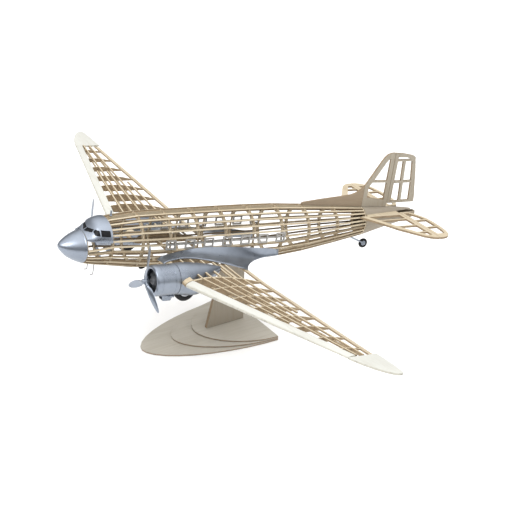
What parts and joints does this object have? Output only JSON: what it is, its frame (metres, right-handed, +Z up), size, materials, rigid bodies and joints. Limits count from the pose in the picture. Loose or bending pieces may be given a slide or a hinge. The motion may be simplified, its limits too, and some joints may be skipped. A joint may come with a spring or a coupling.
{
  "type": "skeleton display model aircraft",
  "caption": "Uncovered balsa-framed scale model of a low-wing airliner with an engine group on each wing, resting on a layered wooden stand with a central pylon.",
  "frame": {"origin": "centre of the bounding box, on the underside of the stand", "axes": "+X to the model's port wing tip, +Y from the nose to the tail, +Z up"},
  "size_m": [0.904, 0.6016, 0.2318],
  "materials": {
    "balsa": "bare laser-cut balsa",
    "silver_plastic": "satin silver-coloured moulding",
    "black_plastic": "smooth black moulding",
    "black_rubber": "matt tread",
    "grey_plastic": "satin grey",
    "steel_wire": "bright",
    "stand_plywood": "sanded, pale stain"
  },
  "bodies": {
    "stand": {"stand_base_lower": "stand_plywood", "stand_base_middle": "stand_plywood", "stand_base_upper": "stand_plywood", "stand_pylon": "stand_plywood"},
    "airframe": {"fuselage_stringers": "balsa", "former_1": "balsa", "former_2": "balsa", "former_3": "balsa", "former_4": "balsa", "former_5": "balsa", "former_6": "balsa", "former_7": "balsa", "former_8": "balsa", "former_9": "balsa", "keel_top": "balsa", "keel_bottom": "balsa", "keel_left": "balsa", "keel_right": "balsa", "wing_centre_section": "balsa", "wing_leading_edge_left": "balsa", "wing_leading_edge_right": "balsa", "wing_frame_left": "balsa", "wing_frame_right": "balsa", "wing_tip_left": "balsa", "wing_tip_right": "balsa", "tail_cone": "balsa", "tail_top_fairing": "balsa", "dorsal_sheet": "balsa", "fin_frame": "balsa", "stabilizer_frame": "balsa", "nose_cone": "silver_plastic", "cockpit_canopy": "silver_plastic", "aerial_mast": "silver_plastic", "tail_wheel_leg": "silver_plastic", "wing_fillet_left": "silver_plastic", "wing_fillet_right": "silver_plastic", "engine_cowl_left": "silver_plastic", "engine_cowl_right": "silver_plastic", "nacelle_left": "silver_plastic", "nacelle_right": "silver_plastic", "cockpit_glazing": "black_plastic", "aerial_pod": "black_plastic", "window_frames_left": "grey_plastic", "window_frames_right": "grey_plastic", "dummy_engine_left": "grey_plastic", "dummy_engine_right": "grey_plastic", "main_gear_fork_left": "steel_wire", "main_gear_fork_right": "steel_wire", "pitot_mast_left": "steel_wire", "pitot_mast_right": "steel_wire"},
    "propeller_left": {"propeller_left": "silver_plastic"},
    "propeller_right": {"propeller_right": "silver_plastic"},
    "main_wheel_left": {"main_tyre_left": "black_rubber", "main_wheel_hub_left": "silver_plastic"},
    "main_wheel_right": {"main_tyre_right": "black_rubber", "main_wheel_hub_right": "silver_plastic"},
    "tail_wheel": {"tail_wheel": "black_rubber"},
    "rudder": {"rudder_frame": "balsa"},
    "elevator_left": {"elevator_left": "balsa"},
    "elevator_right": {"elevator_right": "balsa"}
  },
  "joints": [
    {"name": "lift_off", "type": "slide", "parent": "stand", "child": "airframe", "axis": [0, 0, 1], "range_m": [0, 0.15]},
    {"name": "propeller_left_spin", "type": "hinge", "parent": "airframe", "child": "propeller_left", "pos_m": [0.088, -0.21535, 0.16143], "axis": [0, 0.9852, -0.1714], "continuous": true},
    {"name": "propeller_right_spin", "type": "hinge", "parent": "airframe", "child": "propeller_right", "pos_m": [-0.088, -0.21535, 0.16143], "axis": [0, 0.9852, -0.1714], "continuous": true},
    {"name": "main_wheel_left_spin", "type": "hinge", "parent": "airframe", "child": "main_wheel_left", "pos_m": [0.088, -0.1573, 0.13336], "axis": [1, 0, 0], "continuous": true},
    {"name": "main_wheel_right_spin", "type": "hinge", "parent": "airframe", "child": "main_wheel_right", "pos_m": [-0.088, -0.1573, 0.13336], "axis": [1, 0, 0], "continuous": true},
    {"name": "tail_wheel_spin", "type": "hinge", "parent": "airframe", "child": "tail_wheel", "pos_m": [0, 0.20373, 0.07613], "axis": [1, 0, 0], "continuous": true},
    {"name": "rudder_hinge", "type": "hinge", "parent": "airframe", "child": "rudder", "pos_m": [0, 0.25326, 0.17409], "axis": [0, 0.1714, 0.9852], "range_deg": [-25, 25]},
    {"name": "elevator_left_hinge", "type": "hinge", "parent": "airframe", "child": "elevator_left", "pos_m": [0.066, 0.26092, 0.11896], "axis": [1, 0, 0], "range_deg": [-22, 22]},
    {"name": "elevator_right_hinge", "type": "hinge", "parent": "airframe", "child": "elevator_right", "pos_m": [-0.066, 0.26092, 0.11896], "axis": [1, 0, 0], "range_deg": [-22, 22]}
  ],
  "couplings": [
    {"joint": "elevator_right_hinge", "follows": "elevator_left_hinge", "ratio": 1}
  ]
}
